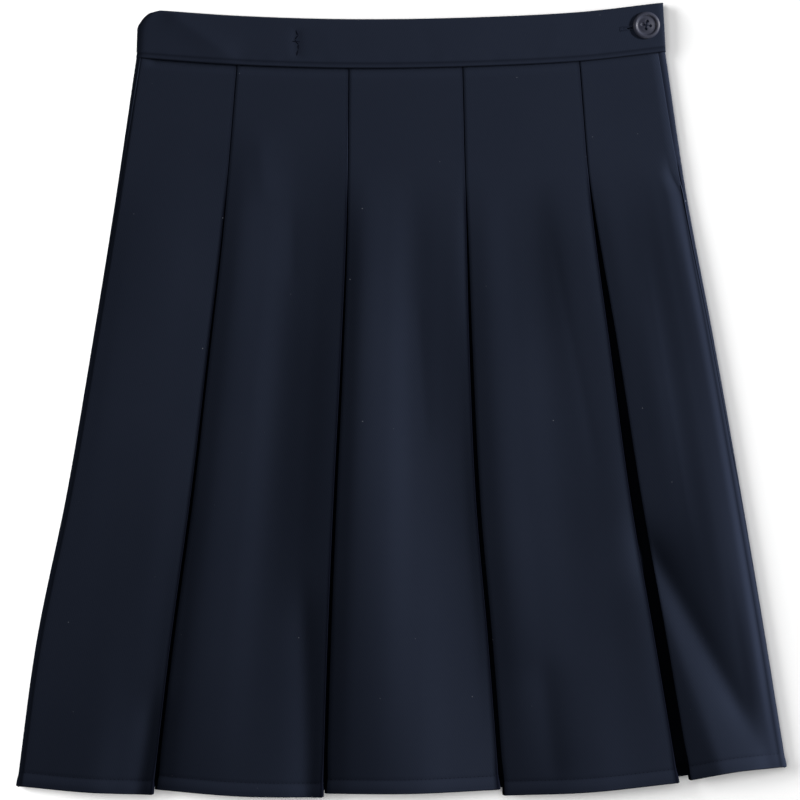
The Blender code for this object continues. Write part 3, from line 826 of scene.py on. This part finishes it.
def polyester_thread(name, dark, light):
    """Spun polyester sewing thread: twisted and matt."""
    made, tree, shader = new_material(name, Roughness=0.8, Specular_IOR_Level=0.05)
    place = add_node(tree, "TexCoord").outputs["Object"]
    # the twist of the plies, 0.4 mm long
    plies = add_node(
        tree,
        "TexWave",
        {"Vector": place, "Scale": math.tau / 20 / (0.4 * MM), "Distortion": 1.0},
        bands_direction="DIAGONAL",
    ).outputs["Fac"]
    colour = add_node(
        tree, "Mix", {"Factor": plies, "A": linear(dark), "B": linear(light)}, data_type="RGBA"
    )
    tree.links.new(colour.outputs["Result"], shader.inputs["Base Color"])
    return made


def new_object(name, data):
    """An object in the scene."""
    made = bpy.data.objects.new(name, data)
    bpy.context.scene.collection.objects.link(made)
    return made


def mesh_object(name, mesh, finish=None):
    """An object in the scene from a mesh in metres."""
    data = bpy.data.meshes.new(name)
    mesh.to_mesh(data)
    mesh.free()
    if finish:
        data.materials.append(finish)
    return new_object(name, data)


def new_piece(name, mesh, finish):
    """A finished piece of the skirt from a mesh in millimetres."""
    bmesh.ops.scale(mesh, vec=Vector((MM, MM, MM)), verts=mesh.verts)
    made = mesh_object(name, mesh, finish)
    made.data.shade_smooth()
    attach(made, "root")
    return made


def grid_mesh(table):
    """A grid of points from rows of (point, place on the cut, its painted shade)."""
    across, up = len(table[0]) - 1, len(table) - 1
    mesh = bmesh.new()
    cut = mesh.loops.layers.uv.new("cut")
    # each point's painted shade, which darkens its colour
    pressed = mesh.verts.layers.float.new("pressed")
    bmesh.ops.create_grid(mesh, x_segments=across, y_segments=up, size=0.5)
    at = {v: table[round((v.co.y + 0.5) * up)][round((v.co.x + 0.5) * across)] for v in mesh.verts}
    for vert, (point, _, shade_amount) in at.items():
        vert.co, vert[pressed] = point, shade_amount
    for face in mesh.faces:
        for loop in face.loops:
            loop[cut].uv = Vector(at[loop.vert][1]) * MM
    return mesh


def sew_cloth(name, cloth, finish):
    """The front or the back, laid in its folds from a flat grid."""
    mesh = grid_mesh([list(zip(*surface_row(cloth, row))) for row in reversed(cloth_rows())])
    if cloth.out < 0:
        bmesh.ops.reverse_faces(mesh, faces=mesh.faces)
    made = new_piece(name, mesh, finish)
    wall = made.modifiers.new("cloth", "SOLIDIFY")
    wall.thickness = CLOTH * MM
    wall.offset = -1
    return made


def band_point(place, up, height):
    """A point on the waistband, up being its distance above the waist seam, square to it."""
    slope = math.atan(SEAM_HEIGHT(place + 1) / 2 - SEAM_HEIGHT(place - 1) / 2)
    return place - up * math.sin(slope), SEAM_HEIGHT(place) + up * math.cos(slope), height


def half_turn(centre, height, radius, side):
    """Points of a half turn towards side, without its ends, from the top down."""
    angles = [math.pi * (0.5 - i / BAND_TURN_STEPS) for i in range(1, BAND_TURN_STEPS)]
    return [(centre + side * radius * math.cos(a), height + radius * math.sin(a)) for a in angles]


def stretch(start, end):
    """Places from start to end, about a step of the waistband apart."""
    steps = round(abs(end - start) / BAND_STEP)
    return [start + (end - start) * i / steps for i in range(steps + 1)]


def band_path():
    """The waistband's middle line: front, left fold, back, right fold and underlap."""
    left, right = LINES[0](0), LINES[5](0)
    left_radius = (BAND_FRONT - BAND_BACK) / 2
    right_radius = (BAND_UNDERLAP - BAND_BACK) / 2
    left_centre = left + left_radius + BAND_HALF
    right_centre = right - right_radius - BAND_HALF
    inner_end = right_centre - BAND_UNDERLAP_LENGTH
    front = [right - s for s in BAND_END] + stretch(right - 3, left_centre)
    back = stretch(left_centre, right_centre)
    underlap = stretch(right_centre, inner_end + 3) + [inner_end + s for s in reversed(BAND_END)]
    left_turn = half_turn(left_centre, (BAND_FRONT + BAND_BACK) / 2, left_radius, -1)
    right_turn = half_turn(right_centre, (BAND_UNDERLAP + BAND_BACK) / 2, right_radius, 1)
    path = [(place, BAND_FRONT) for place in front] + left_turn
    path += [(place, BAND_BACK) for place in back] + right_turn[::-1]
    return path + [(place, BAND_UNDERLAP) for place in underlap]


def at_top_left(amount, reach, from_left, up):
    """How far a change of the waistband's top left corner, which fades out over a reach to the
    right, moves a point."""
    high = max(0.0, 1 - (BAND_HEIGHT - up) / BAND_LEAN_DEPTH)
    return amount * high**2 * (1 - ease(from_left / reach))


def band_painted_shade(up):
    """The waistband's painted shade: along its row of stitches, and most at its lower edge, as
    shade under its lip.
    """
    stitched = BAND_SHADE_STITCH * bell(up, EDGE_STITCH, BAND_SHADE_WIDTH)
    return max(stitched, BAND_SHADE_EDGE * (1 - ease(up / BAND_SHADE_HEIGHT)))


def band_relief(place, up, shown=1.0):
    """How far the waistband's outside stands out: its groove, and its creases where it shows."""
    groove = EDGE_GROOVE * bell(up, EDGE_STITCH, EDGE_GROOVE_WIDTH)
    waves = math.sin(place / 3.1) + math.sin(place / 5.3 + 1.0) + math.sin(place / 1.9 + 2.0)
    puckers = PUCKERS * waves * bell(up, EDGE_STITCH + PUCKERS_UP, PUCKERS_WIDTH)
    return shown * (puckers + crease_height(BAND_CREASES, place, up)) - groove


def band_profile():
    """The waistband's cross-section: (out, up) round it, and whether its outside stands there."""
    low, high = BAND_HALF, BAND_HEIGHT - BAND_HALF
    levels = [low + (high - low) * i / BAND_LEVELS for i in range(BAND_LEVELS + 1)]
    arcs = [math.pi * i / 8 for i in range(1, 8)]
    profile = [(BAND_HALF, up, True) for up in levels]
    profile += [(BAND_HALF * math.cos(a), high + BAND_HALF * math.sin(a), False) for a in arcs]
    profile += [(-BAND_HALF, up, False) for up in levels[::-4]]
    profile += [(-BAND_HALF * math.cos(a), low - BAND_HALF * math.sin(a), False) for a in arcs]
    return profile + profile[:1]


def waistband_mesh():
    """The waistband: one strip with rounded edges and ends, bent round the waist."""
    path = band_path()
    travelled = distances(path)
    stations = list(zip(path, outward_steps(path, -1), travelled))
    table = []
    for off, up, outside in band_profile():
        row = []
        for (place, height), step, along in stations:
            out = off
            if outside:
                shown = ease((height - BAND_BACK) / (BAND_FRONT - BAND_BACK))
                out += band_relief(place, up, shown)
            from_end = min(along, travelled[-1] - along)
            if from_end < BAND_END[-1]:
                out *= math.sqrt(0.1 + 0.9 * (1 - (1 - from_end / BAND_END[-1]) ** 2))
            from_left = place - LINES[0](0)
            lean = at_top_left(BAND_LEAN, BAND_LEAN_REACH, from_left, up)
            drop = at_top_left(BAND_CORNER, BAND_CORNER_REACH, from_left, up)
            point = band_point(place + lean + out * step.x, up - drop, height + out * step.y)
            side = up if outside else 2 * BAND_HEIGHT - up
            row.append((point, (along, side), band_painted_shade(up)))
        table.append(row)
    mesh = grid_mesh(table)
    bmesh.ops.remove_doubles(mesh, verts=mesh.verts, dist=0.001)
    bmesh.ops.holes_fill(mesh, edges=[e for e in mesh.edges if e.is_boundary], sides=0)
    bmesh.ops.recalc_face_normals(mesh, faces=mesh.faces)
    return mesh


def cut_out(body, cutter_mesh):
    """Cuts a mesh in millimetres out of a piece, for good."""
    bmesh.ops.scale(cutter_mesh, vec=Vector((MM, MM, MM)), verts=cutter_mesh.verts)
    bmesh.ops.recalc_face_normals(cutter_mesh, faces=cutter_mesh.faces)
    cutter = mesh_object("cutter", cutter_mesh)
    boolean = body.modifiers.new("cut", "BOOLEAN")
    boolean.operation = "DIFFERENCE"
    boolean.solver = "EXACT"
    boolean.object = cutter
    evaluated = body.evaluated_get(bpy.context.evaluated_depsgraph_get())
    body.data = bpy.data.meshes.new_from_object(evaluated)
    body.modifiers.clear()
    bpy.data.objects.remove(cutter)


def slit_mesh():
    """The buttonhole's slit, a long box."""
    mesh = bmesh.new()
    middle = Vector((sum(BUTTONHOLE) / 2, BUTTONHOLE_Y, BAND_FRONT))
    along = sum(BUTTONHOLE_SLIT) / 2 - middle.x
    size = (BUTTONHOLE_SLIT[1] - BUTTONHOLE_SLIT[0], SLIT_WIDTH, 2 * BAND_WALL)
    turn = Matrix.Rotation(BUTTONHOLE_SLOPE, 4, "Z")
    place = Matrix.Translation(middle) @ turn @ Matrix.Translation((along, 0, 0))
    bmesh.ops.create_cube(mesh, size=1.0, matrix=place @ Matrix.Diagonal((*size, 1)))
    return mesh


def button_mesh():
    """The button turned from its profile: flat back, rounded rim and a domed middle."""
    mesh = bmesh.new()
    line = [mesh.verts.new((radius, 0, height)) for radius, height in BUTTON_PROFILE]
    edges = [mesh.edges.new(pair) for pair in zip(line, line[1:])]
    geom, axis = line + edges, (0, 0, 1)
    bmesh.ops.spin(mesh, geom=geom, axis=axis, angle=math.tau, steps=72, use_merge=True)
    bmesh.ops.remove_doubles(mesh, verts=mesh.verts, dist=0.001)
    bmesh.ops.recalc_face_normals(mesh, faces=mesh.faces)
    bmesh.ops.translate(mesh, vec=Vector((*BUTTON_PLACE, BUTTON_BOTTOM)), verts=mesh.verts)
    return mesh


def button_hole_places():
    """The four holes' places across and up."""
    x, y = BUTTON_PLACE
    places = []
    for i in range(4):
        turn = BUTTON_TURN + math.pi / 2 * i
        away = math.cos(turn), math.sin(turn)
        places.append((x + BUTTON_HOLE_CIRCLE * away[0], y + BUTTON_HOLE_CIRCLE * away[1]))
    return places


def add_cone(mesh, place, low, high, depth, segments=24):
    """An upright cone about a place, with its radii at the bottom and at the top."""
    sizes = {"segments": segments, "radius1": low, "radius2": high, "depth": depth}
    bmesh.ops.create_cone(mesh, cap_ends=True, matrix=Matrix.Translation(place), **sizes)


def button_holes_mesh():
    """Four drills, each flared where it comes out at the top."""
    mesh = bmesh.new()
    for x, y in button_hole_places():
        for low, high, depth, middle in BUTTON_DRILLS:
            add_cone(mesh, (x, y, BUTTON_BOTTOM + middle), low, high, depth)
    return mesh


def add_stitch(mesh, start, end, radius, sink=0.5):
    """A stitch of thread between two points, rounded at its ends and part sunk into the cloth."""
    start, end = Vector(start), Vector(end)
    along = end - start
    turn = along.to_track_quat("X", "Z").to_matrix().to_4x4()
    place = Matrix.Translation((start + end) / 2 + Vector((0, 0, radius * (1 - 2 * sink)))) @ turn
    size = Matrix.Diagonal((along.length / 2, radius, radius, 1))
    bmesh.ops.create_icosphere(mesh, subdivisions=2, radius=1.0, matrix=place @ size)


def band_stitching():
    """The rows of stitches along the lower edge of the waistband, front and back, and its tack."""
    mesh = bmesh.new()
    outside = BAND_FRONT + BAND_HALF
    place = LINES[5](0) - 2.5
    while place > LINES[0](0) + 6:
        on_front, on_back = [], []
        for x in (place, place - EDGE_STITCH_LENGTH):
            height = outside + band_relief(x, EDGE_STITCH)
            on_front.append(band_point(x, EDGE_STITCH, height))
            on_back.append(band_point(x, EDGE_STITCH, -band_relief(x, EDGE_STITCH, 0.0)))
        add_stitch(mesh, *on_front, EDGE_STITCH_RADIUS)
        if place < LINES[5](0) - 6:
            add_stitch(mesh, *on_back, EDGE_STITCH_RADIUS)
        place -= EDGE_STITCH_STEP
    for line, radius in zip((TACK, TACK_ACROSS), TACK_RADII):
        points = [band_point(x, up, outside + band_relief(x, up)) for x, up in line]
        for pair in zip(points, points[1:]):
            add_stitch(mesh, *pair, radius)
    return mesh


def hem_stitching(cloth, lowest, highest, sink):
    """The row of stitches along the hem of a cloth's panels, which lie between two heights."""
    mesh = bmesh.new()
    points = surface_row(cloth, Row(LENGTH - HEM_STITCH, 0.0))[0]
    place = points[0][0]
    for first, second in zip(points, points[1:]):
        heights = first[2], second[2]
        if min(heights) < lowest or max(heights) > highest or first[0] > second[0]:
            continue
        ahead = (Vector(second) - Vector(first)).normalized()
        while place + HEM_STITCH_STEP <= second[0]:
            place = max(place + HEM_STITCH_STEP, first[0])
            start = Vector(first) + ahead * (place - first[0])
            end = start + ahead * HEM_STITCH_LENGTH
            add_stitch(mesh, start, end, HEM_STITCH_RADIUS, sink)
    return mesh


def buttonhole_stitching():
    """Dense stitches round the buttonhole's slit, with a bar across its end."""
    mesh = bmesh.new()
    slope = BUTTONHOLE_SLOPE
    along = Vector((math.cos(slope), math.sin(slope), 0))
    aside = Vector((-math.sin(slope), math.cos(slope), 0))
    middle = Vector((sum(BUTTONHOLE) / 2, BUTTONHOLE_Y, BAND_FRONT + BAND_HALF))
    reach = (BUTTONHOLE[1] - BUTTONHOLE[0]) / 2
    count = 48
    for i in range(count):
        at = middle + along * (-reach + 1.2 + (2 * reach - 2.4) * i / (count - 1))
        for side in (-1, 1):
            add_stitch(mesh, at + aside * side * 0.2, at + aside * side * 1.35, 0.2, 0.35)
    for end in (-1, 1):
        for i in range(5):
            at = middle + along * end * (reach - 1.3 + 0.32 * i)
            add_stitch(mesh, at - aside * 1.4, at + aside * 1.4, 0.2, 0.3)
    return mesh


def thread_mesh():
    """The button's thread: crossed strands over its holes, and its shank down to the band."""
    mesh = bmesh.new()
    holes = button_hole_places()
    top = BUTTON_BOTTOM + BUTTON_THICKNESS - 0.45
    for pair, lift in (((0, 2), 0.0), ((1, 3), 0.3)):
        first, second = (Vector((*holes[i], top + lift)) for i in pair)
        aside = (second - first).cross(Vector((0, 0, 1))).normalized()
        for strand in (-1, 1):
            offset = aside * strand * 0.17
            add_stitch(mesh, first + offset, second + offset, 0.16)
    add_cone(mesh, (*BUTTON_PLACE, BUTTON_BOTTOM - 0.6), 1.7, 1.5, 2.4, 20)
    return mesh


def area_light(name, place, size, power, lights_up, shaded_by=()):
    """A soft square light at a place in metres, aimed at the skirt's middle, that lights some
    objects only, with the shadows of some or all."""
    data = bpy.data.lights.new(name, "AREA")
    data.shape = "SQUARE"
    data.size = size
    data.energy = power
    light = new_object(name, data)
    light.location = place
    light.rotation_euler = (-Vector(place)).to_track_quat("-Z", "Y").to_euler()
    for role, objects in (("receiver_collection", lights_up), ("blocker_collection", shaded_by)):
        if objects:
            group = bpy.data.collections.new(name + "_" + role)
            for each in objects:
                group.objects.link(each)
            setattr(light.light_linking, role, group)


def white_table():
    """A large sheet of white seamless paper under the skirt."""
    paper = new_material(
        "white_seamless_paper",
        Base_Color=linear("#fbfbfb"),
        Roughness=0.9,
        Specular_IOR_Level=0.1,
    )[0]
    mesh = bmesh.new()
    bmesh.ops.create_grid(mesh, x_segments=1, y_segments=1, size=4.0)
    table = mesh_object("table", mesh, paper)
    # dark cards keep its light off the skirt
    table.visible_diffuse = table.visible_glossy = False
    return table


def camera_above():
    """The camera, straight above the middle of the view and looking down."""
    data = bpy.data.cameras.new("from_above")
    data.lens = LENS
    data.sensor_width = SENSOR
    data.clip_end = 30
    camera = new_object("from_above", data)
    distance = VIEW_WIDTH * LENS / SENSOR
    camera.location = Vector((*VIEW_MIDDLE, FRONT_FACE + distance)) * MM
    bpy.context.scene.camera = camera


camera_above()
cloth_finish, resin = gabardine(), button_resin()
thread = polyester_thread("navy_polyester_thread", "#0d101b", "#171c2b")
buttonhole_twist = polyester_thread("navy_buttonhole_twist", "#1b212f", "#262c3c")

front = sew_cloth("skirt_front", FRONT, cloth_finish)
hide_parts("front_panel")
back = sew_cloth("skirt_back", BACK, cloth_finish)
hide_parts("back_panel")
band = new_piece("folded_waistband", waistband_mesh(), cloth_finish)
cut_out(band, slit_mesh())
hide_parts("waistband")
button = new_piece("four_hole_button", button_mesh(), resin)
cut_out(button, button_holes_mesh())
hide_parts("button")

edge_stitches = new_piece("waistband_stitches", band_stitching(), thread)
stitches = hem_stitching(FRONT, FRONT_FACE, 2 * FRONT_FACE, 0.5)
front_stitches = new_piece("front_hem_stitches", stitches, thread)
stitches = buttonhole_stitching()
hole_stitches = new_piece("buttonhole_stitches", stitches, buttonhole_twist)
button_thread = new_piece("button_thread", thread_mesh(), buttonhole_twist)
stitches = hem_stitching(BACK, -0.1, 0.1, 0.2)
back_stitches = new_piece("back_hem_stitches", stitches, thread)
cloths = [front, back, band]
panels = [front, back, front_stitches, back_stitches]
waist = [band, button, edge_stitches, hole_stitches, button_thread]

table = white_table()
world = bpy.data.worlds.new("studio")
bpy.context.scene.world = world
world.use_nodes = True
background = world.node_tree.nodes["Background"].inputs
background["Color"].default_value = (1, 1, 1, 1)
background["Strength"].default_value = 0.05
# A window's low light comes over the cloth from the right. The waistband and its button have most
# of theirs from higher up, and cards give some back to the left side and to the hem.
LOW = (1.95, 0.5, 0.31)
area_light("window_on_cloth", LOW, 0.6, 128, panels, cloths)
area_light("window_on_band", LOW, 0.6, 36, waist, cloths)
area_light("window_high", (1.1, 0.35, 1.0), 0.2, 13, waist)
area_light("card_left", (-1.5, 0.3, 0.2), 0.3, 4, panels + waist)
area_light("card_front", (0.1, -1.6, 0.2), 0.3, 3, panels + waist)
# On the table: soft light from the left, whose shadow falls to the right, and light from above
area_light("table_left", (-1.5, 0.45, 0.9), 1.25, 47, [table])
area_light("table_above", (0.0, 0.0, 2.8), 3.0, 65, [table])
bpy.context.scene.view_settings.view_transform = "Standard"
